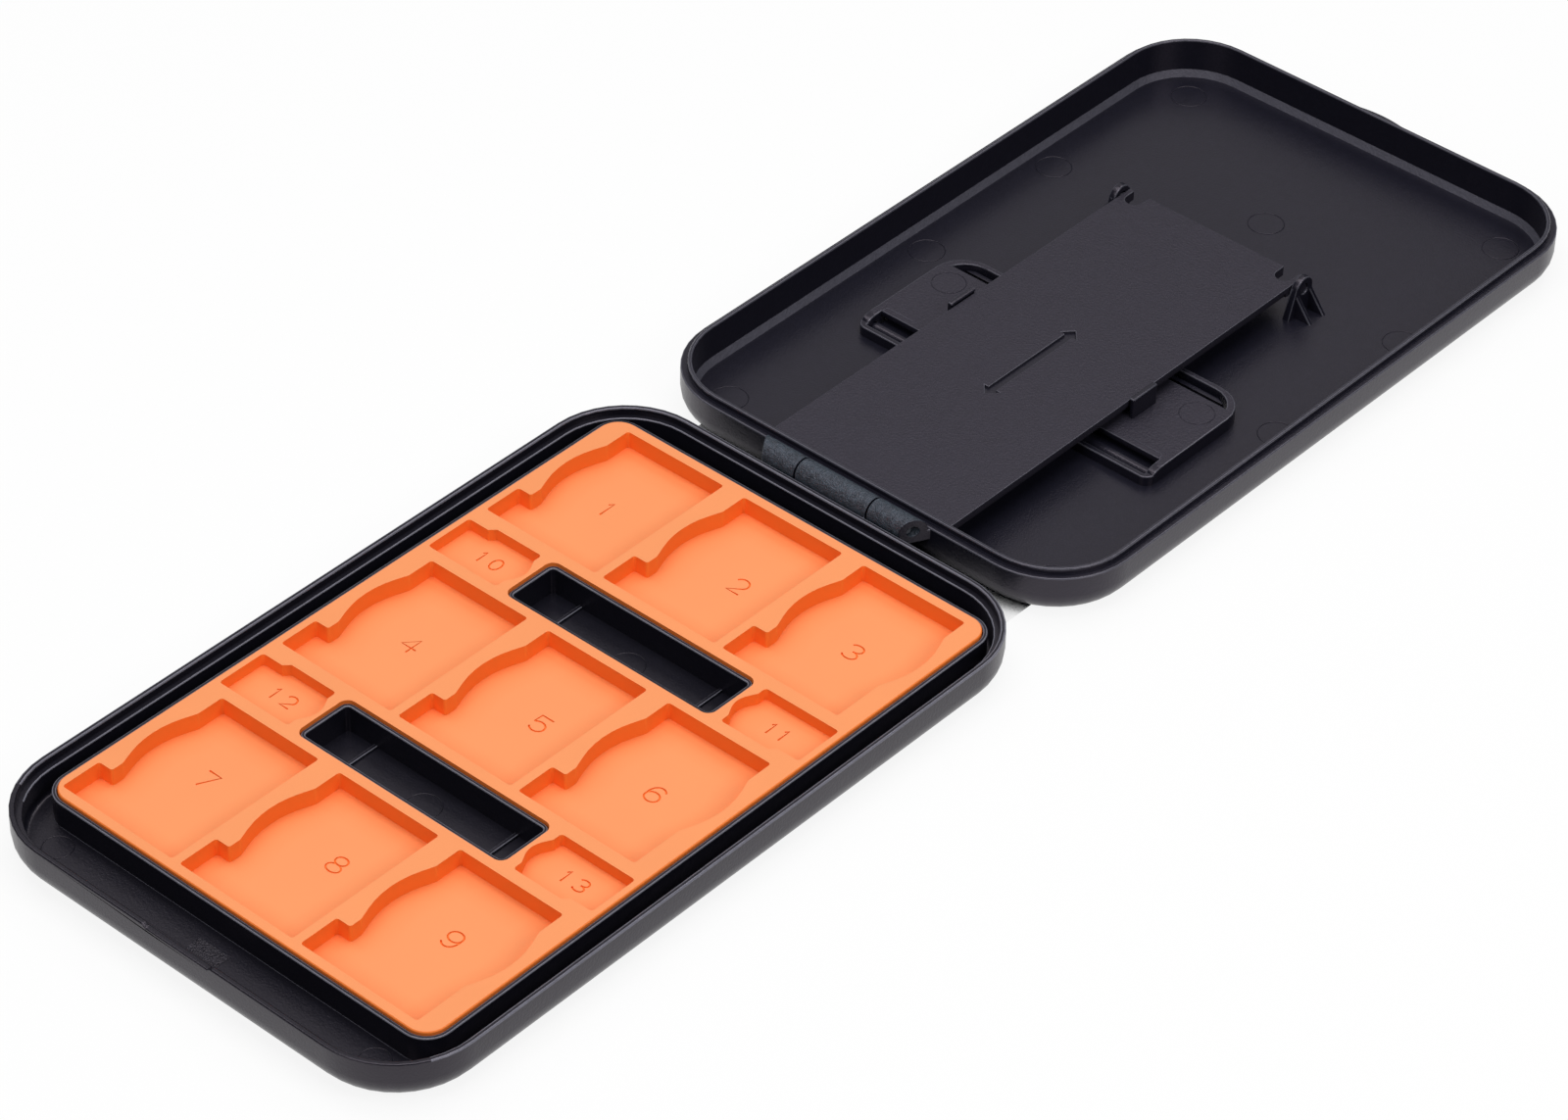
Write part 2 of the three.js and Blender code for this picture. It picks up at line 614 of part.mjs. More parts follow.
// Prop plate: two slots in its far edge leave thin spring arms that carry the pivot stubs.
function propPlate() {
  const [slotIn, slotOut] = SPRING_SLOT;
  const slotEnd = PLATE_FAR - SPRING_SLOT_DEPTH;
  const plan = outline([
    [-PLATE_HALF, PLATE_NEAR, PLATE_CORNER_R],
    [PLATE_HALF, PLATE_NEAR, PLATE_CORNER_R],
    [PLATE_HALF, PLATE_FAR],
    [slotOut, PLATE_FAR],
    [slotOut, slotEnd, SPRING_SLOT_R],
    [slotIn, slotEnd, SPRING_SLOT_R],
    [slotIn, PLATE_FAR],
    [-slotIn, PLATE_FAR],
    [-slotIn, slotEnd, SPRING_SLOT_R],
    [-slotOut, slotEnd, SPRING_SLOT_R],
    [-slotOut, PLATE_FAR],
    [-PLATE_HALF, PLATE_FAR],
  ]);
  let body = prism(plan, PLATE_TOP - PLATE_THICKNESS, PLATE_TOP);
  sides.forEach((side) => {
    const rebate = outline([
      [side * (PLATE_HALF - PLATE_REBATE), 0],
      [side * (PLATE_HALF + OVERCUT), 0],
      [side * (PLATE_HALF + OVERCUT), PLATE_REBATE_TOP],
      [side * (PLATE_HALF - PLATE_REBATE), PLATE_REBATE_TOP],
    ]);
    const stub = [side * (PLATE_HALF - JOIN), side * PLATE_STUB_X];
    body = body.subtract(rib(rebate, [PLATE_NEAR - OVERCUT, PLATE_REBATE_END]));
    body = body.add(rod(stub, PLATE_PIVOT_Y, PLATE_PIVOT_Z, PLATE_STUB_R));
  });
  return body;
}

// Fold-out ledge: a leaf with a pivot barrel along its near edge and a hook along its far edge.
function foldLedge() {
  const [hookIn, hookOut] = LEDGE_HOOK;
  const leafAngle = Math.asin((LEDGE_TOP - LEDGE_PIVOT_Z) / LEDGE_BARREL_R);
  const profile = new THREE.Shape();
  profile.moveTo(LEDGE_PIVOT_Y, LEDGE_BOTTOM);
  profile.lineTo(LEDGE_FAR, LEDGE_BOTTOM);
  profile.lineTo(LEDGE_FAR, LEDGE_TOP);
  profile.lineTo(hookOut, LEDGE_HOOK_TOP);
  profile.lineTo(hookIn + LEDGE_HOOK_DRAFT, LEDGE_HOOK_TOP);
  profile.lineTo(hookIn, LEDGE_TOP);
  for (let step = 0; step <= ROUND_STEPS; step += 1) {
    const angle = leafAngle + step / ROUND_STEPS * (Math.PI * 1.5 - leafAngle);
    const y = LEDGE_PIVOT_Y + LEDGE_BARREL_R * Math.cos(angle);
    profile.lineTo(y, LEDGE_PIVOT_Z + LEDGE_BARREL_R * Math.sin(angle));
  }
  const near = LEDGE_PIVOT_Y - LEDGE_BARREL_R - JOIN;
  const plan = outline([
    [-LEDGE_HALF, near],
    [LEDGE_HALF, near],
    [LEDGE_HALF, LEDGE_FAR, LEDGE_FAR_R],
    [-LEDGE_HALF, LEDGE_FAR, LEDGE_FAR_R],
  ]);
  let body = bar(profile, [-LEDGE_HALF, LEDGE_HALF]).intersect(prism(plan, -OVERCUT, RIM));
  sides.forEach((side) => {
    const stub = [side * (LEDGE_HALF - JOIN), side * LEDGE_STUB_X];
    body = body.add(rod(stub, LEDGE_PIVOT_Y, LEDGE_PIVOT_Z, LEDGE_STUB_R));
  });
  return body;
}

function hingePin() {
  return rod([-PIN_HALF, PIN_HALF], 0, RIM, PIN_R);
}

function finish(color, roughness, metalness) {
  return new THREE.MeshStandardMaterial({ color, roughness, metalness });
}

function piece(name, body, material) {
  const { vertProperties, triVerts } = body.getMesh();
  const geometry = new THREE.BufferGeometry();
  geometry.setAttribute("position", new THREE.BufferAttribute(vertProperties, 3));
  geometry.setIndex(new THREE.BufferAttribute(triVerts, 1));
  const mesh = new THREE.Mesh(toCreasedNormals(geometry, CREASE_ANGLE), material);
  mesh.name = name;
  return mesh;
}

const part = new THREE.Group();
part.name = "card_storage_stand";
part.add(
  piece("base_shell", baseShell(), finish(0x242427, 0.5, 0)),
  piece("card_insert", cardInsert(), finish(0xf08040, 0.7, 0)),
  piece("lid_shell", lidShell(), finish(0x2c2c2f, 0.5, 0)),
  piece("prop_plate", propPlate(), finish(0x343437, 0.55, 0)),
  piece("fold_ledge", foldLedge(), finish(0x2a2a2d, 0.5, 0)),
  piece("hinge_pin", hingePin(), finish(0xb4b8bc, 0.3, 1)),
);

export default part;
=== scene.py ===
# %% [markdown]
# A card storage stand, dressed in Blender
#
# The object is a flat clamshell case. Its base tray holds a soft orange insert with card slots,
# its lid tray holds a prop plate and a fold-out ledge, and a pin joins the two trays.
# The solids come from CAD and stay where they are. This lesson softens their edges, engraves
# the numbers and the arrow, adds the faint marks that moulding leaves, and gives every surface
# a plastic, rubber or steel finish.

# %% Load the frame
import math
from contextlib import contextmanager

import bmesh
import bpy
from mathutils import Matrix, Vector


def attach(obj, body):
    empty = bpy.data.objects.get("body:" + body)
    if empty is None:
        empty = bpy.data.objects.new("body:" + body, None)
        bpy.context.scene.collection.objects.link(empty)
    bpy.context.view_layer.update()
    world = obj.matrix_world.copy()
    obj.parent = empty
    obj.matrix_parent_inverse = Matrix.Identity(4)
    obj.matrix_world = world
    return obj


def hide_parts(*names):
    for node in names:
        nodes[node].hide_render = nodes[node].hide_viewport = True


MM = 0.001

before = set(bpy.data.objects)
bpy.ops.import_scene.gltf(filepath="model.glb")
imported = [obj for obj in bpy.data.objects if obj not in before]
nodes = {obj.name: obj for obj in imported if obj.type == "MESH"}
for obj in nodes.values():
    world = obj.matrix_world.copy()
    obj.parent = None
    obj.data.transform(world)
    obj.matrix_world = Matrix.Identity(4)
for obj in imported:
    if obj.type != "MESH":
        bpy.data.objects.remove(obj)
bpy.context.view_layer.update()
print("CAD nodes:", sorted(nodes))

# %% [markdown]
# Camera
#
# A long lens keeps the two trays almost parallel, as a product photographer would have it.
# The place, the point looked at and the small roll were measured from the slot grid, so the
# render can be laid over the photograph.

# %% Place the camera
CAMERA_AT = Vector((456.9, -542.4, 566.5)) * MM
CAMERA_AIM = Vector((5.75, -20.34, 8.5)) * MM
CAMERA_ROLL = math.radians(1.27)
PHOTO_WIDTH_PX = 1600
FOCAL_PX = 5434.9
SENSOR_WIDTH = 36.0
CLIP_START = 10 * MM

camera_data = bpy.data.cameras.new("photo_camera")
camera_data.sensor_fit = "HORIZONTAL"
camera_data.sensor_width = SENSOR_WIDTH
camera_data.lens = SENSOR_WIDTH * FOCAL_PX / PHOTO_WIDTH_PX
camera_data.clip_start = CLIP_START
camera = bpy.data.objects.new("photo_camera", camera_data)
bpy.context.collection.objects.link(camera)
look = (CAMERA_AIM - CAMERA_AT).to_track_quat("-Z", "Y").to_matrix().to_4x4()
camera.matrix_world = Matrix.Translation(CAMERA_AT) @ look @ Matrix.Rotation(CAMERA_ROLL, 4, "Z")
bpy.context.scene.camera = camera
print("lens in mm:", round(camera_data.lens, 1))

# %% [markdown]
# Colours and nodes
#
# A hex colour is how a screen shows it, and a shader wants linear light, so one function
# converts. A second one gives the two shades that a mottled surface wanders between, and a third
# adds a node, sets it and links it, which keeps each material short.


# %% Helpers for materials
def linear(hex_colour):
    channels = [int(hex_colour[i:i + 2], 16) / 255 for i in (1, 3, 5)]
    lit = [c / 12.92 if c <= 0.04045 else ((c + 0.055) / 1.055) ** 2.4 for c in channels]
    return (*lit, 1.0)


def shades(hex_colour, contrast):
    """A colour made darker and lighter by a share of itself."""
    lit = linear(hex_colour)[:3]
    return [(*(min(1.0, c * k) for c in lit), 1.0) for k in (1 - contrast, 1 + contrast)]


def add_node(tree, kind, settings=None, inputs=None):
    node = tree.nodes.new(kind)
    for name, value in (settings or {}).items():
        setattr(node, name, value)
    for name, value in (inputs or {}).items():
        if isinstance(value, bpy.types.NodeSocket):
            tree.links.new(value, node.inputs[name])
        else:
            node.inputs[name].default_value = value
    return node


def new_material(name):
    material = bpy.data.materials.new(name)
    material.use_nodes = True
    tree = material.node_tree
    tree.nodes.clear()
    output = add_node(tree, "ShaderNodeOutputMaterial")
    return material, tree, output


# %% [markdown]
# Black ABS
#
# The trays are moulded ABS with a satin gloss that still mirrors the walls in the floor beside
# them. The plate and the hinge barrels have a spark-eroded grain instead, which breaks every
# reflection into a haze. Its real size is a tenth of a millimetre or less, so it is drawn a little
# coarser to survive the render. A slow drift in roughness keeps wide faces from looking computed.
# The strips that round the upper edges get a glossier black whose paler colour is a painted
# highlight, stronger on the base's edges than on the lid's.

# %% Grained plastics
GRAIN_CLUSTER = 3.0
GRAIN_DRIFT = 60
ROUGHNESS_DRIFT = 0.05
PLASTIC_IOR = 1.5
SHINE = "#FDF0FF"


def grained_plastic(name, colour, roughness, grain_mm, bump, contrast=0.2, depth=0.3):
    material, tree, output = new_material(name)
    place = add_node(tree, "ShaderNodeTexCoord").outputs["Object"]
    grain = add_node(tree, "ShaderNodeTexNoise", {}, {
        "Vector": place, "Scale": 1 / (grain_mm * MM), "Detail": 2.0, "Roughness": 0.6,
    })
    drift = add_node(tree, "ShaderNodeTexNoise", {}, {
        "Vector": place, "Scale": 1 / (grain_mm * MM * GRAIN_DRIFT), "Detail": 1.0,
    })
    speckle = add_node(tree, "ShaderNodeTexNoise", {}, {
        "Vector": place, "Scale": 1 / (grain_mm * MM * GRAIN_CLUSTER), "Detail": 2.0,
    })
    dark, light = shades(colour, contrast)
    tint = add_node(tree, "ShaderNodeMix", {"data_type": "RGBA"}, {
        "Factor": speckle.outputs["Fac"], "A": dark, "B": light,
    })
    haze = add_node(tree, "ShaderNodeMapRange", {}, {
        "Value": drift.outputs["Fac"],
        "To Min": roughness - ROUGHNESS_DRIFT, "To Max": roughness + ROUGHNESS_DRIFT,
    })
    relief = add_node(tree, "ShaderNodeBump", {}, {
        "Height": grain.outputs["Fac"], "Strength": bump, "Distance": grain_mm * MM * depth,
    })
    shader = add_node(tree, "ShaderNodeBsdfPrincipled", {}, {
        "Base Color": tint.outputs["Result"], "Roughness": haze.outputs["Result"],
        "Normal": relief.outputs["Normal"], "IOR": PLASTIC_IOR, "Specular Tint": linear(SHINE),
    })
    tree.links.new(shader.outputs["BSDF"], output.inputs["Surface"])
    return material


SATIN = {"roughness": 0.3, "grain_mm": 0.45, "bump": 0.3}
COARSE = {"grain_mm": 0.5, "bump": 0.9}
STIPPLE = {"roughness": 0.35, "grain_mm": 0.35, "bump": 1.0, "contrast": 0.9, "depth": 0.9}
EDGE_GLOSS = {"roughness": 0.25, "grain_mm": 0.45, "bump": 0.1}

tray_abs = grained_plastic("black_abs_satin", "#13131B", **SATIN)
lid_abs = grained_plastic("black_abs_lid", "#181822", **SATIN)
plate_abs = grained_plastic("black_abs_coarse_grain", "#23222C", roughness=0.5, **COARSE)
# The barrels' pale base colour is partly grain and partly a painted reflection of the top light on
# their round faces.
barrel_grain_sheen_abs = grained_plastic("black_abs_barrel_grain_painted_sheen", "#374049", **STIPPLE)
# A paler coarse-grained black: its paleness is a painted sheen on the lid's slope and a painted
# highlight on the hair lines.
pale_sheen_grain_abs = grained_plastic("black_abs_grain_painted_sheen", "#4A4A54", roughness=0.55, **COARSE)
# Paler blacks for the edge strips: the lower roughness is real, the paler colour is a painted
# highlight.
edge_highlight_abs = grained_plastic("black_abs_edge_painted_highlight", "#6A6A74", **EDGE_GLOSS)
faint_edge_highlight_abs = grained_plastic("black_abs_edge_faint_painted_highlight", "#4A4A53", **EDGE_GLOSS)
stipple_abs = grained_plastic("black_abs_stipple", "#1D1D23", **STIPPLE)
print("plastics:", *(plastic.name for plastic in (
    tray_abs, lid_abs, plate_abs, barrel_grain_sheen_abs, pale_sheen_grain_abs, edge_highlight_abs, faint_edge_highlight_abs, stipple_abs,
)))

# %% [markdown]
# Orange thermoplastic rubber
#
# The insert is a soft moulding with a matt skin, so its shine is wide and weak. The walls are the
# deep orange, and the flat faces get a paler copy of it, a painted sheen of the top light. A faint
# cloud in the colour and a fine grain keep the deck from looking like paint, and towards the
# corners an ambient occlusion mask paints the colour deeper, as painted shade.

# %% Soft orange
CLOUD_SPREAD = 50
CLOUD_CONTRAST = 0.03
NOOK_SAMPLES = 8
CORNER_REACH = 6 * MM
CORNER_SHADE_START = 0.5
CORNER_SHADE_SHARE = 0.5
RUBBER_BUMP = 0.15
RUBBER_DEPTH = 0.2
RUBBER_ROUGHNESS = 0.62
RUBBER_IOR = 1.5


def soft_rubber(name, colour, corner_shade_colour, grain_mm):
    material, tree, output = new_material(name)
    place = add_node(tree, "ShaderNodeTexCoord").outputs["Object"]
    grain = add_node(tree, "ShaderNodeTexNoise", {}, {
        "Vector": place, "Scale": 1 / (grain_mm * MM), "Detail": 2.0,
    })
    cloud = add_node(tree, "ShaderNodeTexNoise", {}, {
        "Vector": place, "Scale": 1 / (grain_mm * MM * CLOUD_SPREAD), "Detail": 1.0,
    })
    dark, light = shades(colour, CLOUD_CONTRAST)
    tint = add_node(tree, "ShaderNodeMix", {"data_type": "RGBA"}, {
        "Factor": cloud.outputs["Fac"], "A": dark, "B": light,
    })
    # Painted shade: an ambient occlusion mask deepens the colour towards corners and the feet of
    # walls.
    nook = add_node(tree, "ShaderNodeAmbientOcclusion", {"samples": NOOK_SAMPLES}, {
        "Distance": CORNER_REACH,
    })
    painted_corner_shade = add_node(tree, "ShaderNodeMapRange", {}, {
        "Value": nook.outputs["AO"], "From Min": CORNER_SHADE_START, "To Min": CORNER_SHADE_SHARE, "To Max": 0.0,
    })
    tint = add_node(tree, "ShaderNodeMix", {"data_type": "RGBA"}, {
        "Factor": painted_corner_shade.outputs["Result"], "A": tint.outputs["Result"], "B": linear(corner_shade_colour),
    })
    relief = add_node(tree, "ShaderNodeBump", {}, {
        "Height": grain.outputs["Fac"], "Strength": RUBBER_BUMP,
        "Distance": grain_mm * MM * RUBBER_DEPTH,
    })
    shader = add_node(tree, "ShaderNodeBsdfPrincipled", {}, {
        "Base Color": tint.outputs["Result"], "Roughness": RUBBER_ROUGHNESS, "IOR": RUBBER_IOR,
        "Normal": relief.outputs["Normal"],
    })
    tree.links.new(shader.outputs["BSDF"], output.inputs["Surface"])
    return material


# Two copies of one orange: the walls' deeper one, and a paler one for the flat faces whose paleness
# is a painted sheen.
insert_rubber = soft_rubber("orange_soft_rubber", "#FB7F2A", "#FB7F2A", 0.25)
sheen_painted_rubber = soft_rubber("orange_rubber_painted_sheen", "#F7985D", "#F66E1A", 0.25)
print("rubber:", insert_rubber.name, sheen_painted_rubber.name)

# %% [markdown]
# Drawn steel wire
#
# The hinge pin is cut from drawn wire, so its scratches run along it. Noise that is stretched
# along the pin's axis gives that streak, and a metal keeps the shader's own IOR.

# %% Steel
STEEL_ROUGHNESS = (0.22, 0.4)


def drawn_steel(name, colour, streak_mm, stretch):
    material, tree, output = new_material(name)
    place = add_node(tree, "ShaderNodeTexCoord").outputs["Object"]
    along = add_node(tree, "ShaderNodeMapping", {}, {"Vector": place, "Scale": (1 / stretch, 1, 1)})
    streak = add_node(tree, "ShaderNodeTexNoise", {}, {
        "Vector": along.outputs["Vector"], "Scale": 1 / (streak_mm * MM), "Detail": 3.0,
    })
    gloss = add_node(tree, "ShaderNodeMapRange", {}, {
        "Value": streak.outputs["Fac"],
        "To Min": STEEL_ROUGHNESS[0], "To Max": STEEL_ROUGHNESS[1],
    })
    shader = add_node(tree, "ShaderNodeBsdfPrincipled", {}, {
        "Base Color": linear(colour), "Metallic": 1.0, "Roughness": gloss.outputs["Result"],
    })
    tree.links.new(shader.outputs["BSDF"], output.inputs["Surface"])
    return material


pin_steel = drawn_steel("drawn_steel_wire", "#E2E4E6", streak_mm=0.08, stretch=30.0)
print("steel:", pin_steel.name)

# %% [markdown]
# Soft edges
#
# No moulding has a perfectly sharp edge: a radius of a tenth of a millimetre or two catches the
# light as a thin line, and the eye reads that line as plastic. Each CAD solid is copied, its flat
# triangles are merged back into whole faces, and only its outer corners get a bevel weight.
# A face that is narrower than about twice the bevel is left sharp, so nothing folds over, and
# slivers without area, which bevels leave where they meet, are dissolved.

# %% Helpers for shapes
SHARP_ANGLE = math.radians(28)
FLAT_ANGLE = math.radians(0.6)
SMOOTH_ANGLE = math.radians(50)
WELD = 1e-6
SLIVER = 1e-8
BEVEL_LAYER = "bevel_weight_edge"
BEVEL_ROOM = 2.2
BEVEL_STEPS = 2
FACING_UP = 0.9
LEVEL_MARGIN = 0.02 * MM


def new_object(name, mesh):
    obj = bpy.data.objects.new(name, mesh)
    bpy.context.collection.objects.link(obj)
    return obj


@contextmanager
def editing(mesh):
    """Opens a mesh for editing and writes it back at the end."""
    shape = bmesh.new()
    shape.from_mesh(mesh)
    yield shape
    shape.to_mesh(mesh)
    shape.free()


def whole_faces(mesh):
    """Welds a CAD mesh's loose triangles and merges the flat ones."""
    shape = bmesh.new()
    shape.from_mesh(mesh)
    bmesh.ops.remove_doubles(shape, verts=shape.verts, dist=WELD)
    bmesh.ops.dissolve_limit(shape, angle_limit=FLAT_ANGLE, verts=shape.verts, edges=shape.edges)
    merged = bpy.data.meshes.new(mesh.name + "_whole")
    shape.to_mesh(merged)
    shape.free()
    for stored in ("custom_normal", "sharp_edge", "sharp_face"):
        if stored in merged.attributes:
            merged.attributes.remove(merged.attributes[stored])
    return merged


def weigh_corners(mesh, width, allowed):
    """Gives a bevel weight to each outer corner whose two faces are wide enough."""
    count = 0
    with editing(mesh) as shape:
        layers = shape.edges.layers.float
        weight = layers.get(BEVEL_LAYER) or layers.new(BEVEL_LAYER)
        for edge in shape.edges:
            edge[weight] = 0.0
            if len(edge.link_faces) != 2 or edge.calc_face_angle_signed() < SHARP_ANGLE:
                continue
            span = min(face.calc_area() for face in edge.link_faces) / edge.calc_length()
            if span > BEVEL_ROOM * width and allowed(edge):
                edge[weight] = 1.0
                count += 1
    return count


def applied(obj):
    """Replaces an object's mesh and modifiers by what they make."""
    bpy.context.view_layer.update()
    evaluated = obj.evaluated_get(bpy.context.evaluated_depsgraph_get())
    made = bpy.data.meshes.new_from_object(evaluated)
    obj.modifiers.clear()
    obj.data = made
    return obj


def flat_normals(obj):
    normals = obj.modifiers.new("flat faces", "WEIGHTED_NORMAL")
    normals.keep_sharp = True
    normals.thresh = 0.0
    applied(obj)


def drop_slivers(mesh):
    """Dissolves what has no area where bevels meet."""
    with editing(mesh) as shape:
        bmesh.ops.dissolve_degenerate(shape, edges=shape.edges, dist=SLIVER)


def smooth(mesh):
    mesh.polygons.foreach_set("use_smooth", [True] * len(mesh.polygons))


def soften(obj, width, allowed=lambda edge: True):
    count = weigh_corners(obj.data, width, allowed)
    bevel = obj.modifiers.new("edge radius", "BEVEL")
    bevel.limit_method = "WEIGHT"
    bevel.width = width
    bevel.segments = BEVEL_STEPS
    bevel.use_clamp_overlap = False
    applied(obj)
    drop_slivers(obj.data)
    smooth(obj.data)
    obj.data.set_sharp_from_angle(angle=SMOOTH_ANGLE)
    flat_normals(obj)
    print(obj.name, "corners:", count, "faces:", len(obj.data.polygons))
    return obj


def dress(obj, material, body, slot, node=None):
    obj.data.materials.clear()
    obj.data.materials.append(material)
    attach(obj, body)
    if node:
        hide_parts(node)


def lies_at(level, middle, normal, margin=LEVEL_MARGIN):
    """Whether a face looks up and lies at a level."""
    return normal.z > FACING_UP and abs(middle.z - level) < margin


def finish_faces(obj, material, chosen):
    """Gives a second finish, with a crisp border, to the faces that a test picks."""
    obj.data.materials.append(material)
    with editing(obj.data) as shape:
        picked = {face for face in shape.faces if chosen(face.calc_center_median(), face.normal)}
        for face in picked:
            face.material_index = len(obj.data.materials) - 1
        for edge in shape.edges:
            if sum(face in picked for face in edge.link_faces) == 1:
                edge.smooth = False
        print(obj.name, "faces with", material.name + ":", len(picked))
    flat_normals(obj)


# %% [markdown]
# Engraving
#
# The numbers are thin milled grooves of one width, like a single-line engraving font.
# Each figure is written as strokes: straight lines and arcs along the middle of the groove,
# in millimetres from the figure's left edge and its half height.
# A curve with a round bevel turns every stroke into a rod, and a Boolean sinks the rods into the
# floors. Text from a font would have thick and thin parts, which a milling cutter can't make.
# A rod sinks by a hair along its stroke, so that no two of them share a face where they cross.

# %% Strokes of the figures
ARC_STEP = 15
ARC_LEAST = 6
FIGURE_WIDTH = 3.2


def arc(x, y, rx, ry, start, end):
    """Points of an arc in degrees, with a closed ring where it goes all the way round."""
    steps = max(ARC_LEAST, round(abs(end - start) / ARC_STEP))
    last = steps if abs(end - start) >= 360 else steps + 1
    turns = [math.radians(start + (end - start) * i / steps) for i in range(last)]
    return [(x + rx * math.cos(t), y + ry * math.sin(t)) for t in turns]


six = [arc(1.6, -0.72, 1.38, 1.18, 0, 360), arc(1.75, 0, 1.53, 1.9, 42, 200)]
FIGURES = {
    "0": [arc(1.6, 0, 1.3, 1.9, 0, 360)],
    "1": [[(0.2, 1.1), (0.88, 1.9), (0.88, -1.9)]],
    "2": [arc(1.6, 0.6, 1.38, 1.3, 158, -35) + [(0.25, -1.9), (3.0, -1.9)]],
    "3": [
        arc(1.6, 0.95, 1.3, 0.95, 155, -75) + [(1.45, 0.0)],
        arc(1.55, -0.93, 1.42, 0.97, 70, -155),
    ],
    "4": [[(2.35, -1.9), (2.35, 1.9), (0.2, -0.55), (3.35, -0.55)]],
    "5": [[(2.85, 1.9), (0.4, 1.9), (0.3, 0.1)] + arc(1.6, -0.68, 1.42, 1.22, 138, -150)],
    "6": six,
    "7": [[(0.2, 1.9), (2.95, 1.9), (1.0, -1.9)]],
    "8": [arc(1.6, 0.96, 1.18, 0.94, 0, 360), arc(1.6, -0.92, 1.4, 0.98, 0, 360)],
    "9": [[(FIGURE_WIDTH - x, -y) for x, y in stroke] for stroke in six],
}
print("figures:", "".join(FIGURES))

# %% Helpers for engraving
GROOVE_RADIUS = 0.22 * MM
GROOVE_SINK = 0.11 * MM
GROOVE_DRIFT = 0.017 * MM
FIGURE_ADVANCE = 3.6
RING_GAP = 1.2
RING_POINTS = 20


def rods(name, strokes, radius):
    """Rods along strokes, each a list of places and whether it closes, as one mesh."""
    curve = bpy.data.curves.new(name, "CURVE")
    curve.dimensions = "3D"
    curve.bevel_depth = radius
    curve.bevel_resolution = 2
    curve.use_fill_caps = True
    for points, closed in strokes:
        spline = curve.splines.new("POLY")
        spline.points.add(len(points) - 1)
        spline.use_cyclic_u = closed
        for point, place in zip(spline.points, points):
            point.co = (*place, 1.0)
    source = new_object(name, curve)
    bpy.context.view_layer.update()
    evaluated = source.evaluated_get(bpy.context.evaluated_depsgraph_get())
    mesh = bpy.data.meshes.new_from_object(evaluated)
    bpy.data.objects.remove(source)
    with editing(mesh) as shape:
        bmesh.ops.remove_doubles(shape, verts=shape.verts, dist=WELD)
        bmesh.ops.recalc_face_normals(shape, faces=shape.faces)
    return mesh


def written(text, x, y, z, size):
    """Strokes of a number from its left edge and half height, a hair deeper along each stroke."""
    strokes = []
    for index, figure in enumerate(text):
        shift = index * FIGURE_ADVANCE
        for turn, stroke in enumerate(FIGURES[figure]):
            closed = math.dist(stroke[0], stroke[-1]) < RING_GAP and len(stroke) > RING_POINTS
            places = []
            for step, (u, v) in enumerate(stroke):
                sink = GROOVE_SINK + GROOVE_DRIFT * (turn + step / len(stroke))
                places.append((x + (shift + u) * size * MM, y + v * size * MM, z - sink))
            strokes.append((places, closed))
    return strokes


def cut_away(obj, cutter_mesh):
    cutter = new_object("cutter", cutter_mesh)
    cut = obj.modifiers.new("engraving", "BOOLEAN")
    cut.operation = "DIFFERENCE"
    cut.solver = "EXACT"
    cut.use_self = True
    cut.object = cutter
    applied(obj)
    bpy.data.objects.remove(cutter)
    return obj


# %% [markdown]
# Card insert
#
# Nine slots in rows of three, with two small pockets beside each well. The slots are numbered
# 1 to 9 from the hinge, left to right, and the pockets 10 to 13 in smaller figures.
# The numbers aren't centred in their slots: each column starts at its own left edge, and the
# front row sits a little nearer to the hinge than the row pitch would put it. The deck is one face
# with many holes, so the finished insert is split into plain triangles.

# %% Insert with numbers
RIM = 8.5 * MM
DECK = RIM - 0.53 * MM
SLOT_FLOOR = DECK - 3.3 * MM
POCKET_FLOOR = DECK - 2.3 * MM
NUMBER_COLUMNS = (-29.25 * MM, 0.2 * MM, 25.4 * MM)
NUMBER_ROWS = (-27.0 * MM, -75.05 * MM, -120.9 * MM)
ROW_PITCH = 48.0 * MM
POCKET_NUMBERS = (-34.8 * MM, 30.0 * MM)
POCKET_ROW = -51.4 * MM
POCKET_FIGURE_SIZE = 0.75

strokes = []
for row, y in enumerate(NUMBER_ROWS):
    for column, x in enumerate(NUMBER_COLUMNS):
        strokes += written(str(1 + row * 3 + column), x, y, SLOT_FLOOR, 1.0)
for row in range(2):
    for column, x in enumerate(POCKET_NUMBERS):
        text = str(10 + row * 2 + column)
        strokes += written(text, x, POCKET_ROW - row * ROW_PITCH, POCKET_FLOOR, POCKET_FIGURE_SIZE)
print("groove strokes:", len(strokes))

INSERT_EDGE = 0.07 * MM


def above_slot_floors(edge):
    return max(vert.co.z for vert in edge.verts) > POCKET_FLOOR + INSERT_EDGE


def on_flat(middle, normal):
    return any(lies_at(level, middle, normal) for level in (DECK, SLOT_FLOOR, POCKET_FLOOR))


insert = new_object("orange_card_insert", whole_faces(nodes["card_insert"].data))
cut_away(insert, rods("number_rods", strokes, GROOVE_RADIUS))
soften(insert, INSERT_EDGE, above_slot_floors)
dress(insert, insert_rubber, "base", "insert_orange", "card_insert")
# The up-facing faces get the paler copy, a painted sheen of the top light.
finish_faces(insert, sheen_painted_rubber, on_flat)
split = insert.modifiers.new("plain triangles", "TRIANGULATE")
split.keep_custom_normals = True
applied(insert)
print("insert triangles:", len(insert.data.polygons))

# %% [markdown]
# Trays
#
# Base and lid are the same outer shape turned over. The lip, the ledge and the tongue are each
# about a millimetre wide, so their edge radius stays well under that. The mould was left grained
# in three places only: on the hinge barrels, on the slope that runs round the lid's floor and on
# the roof of the housing under the plate.

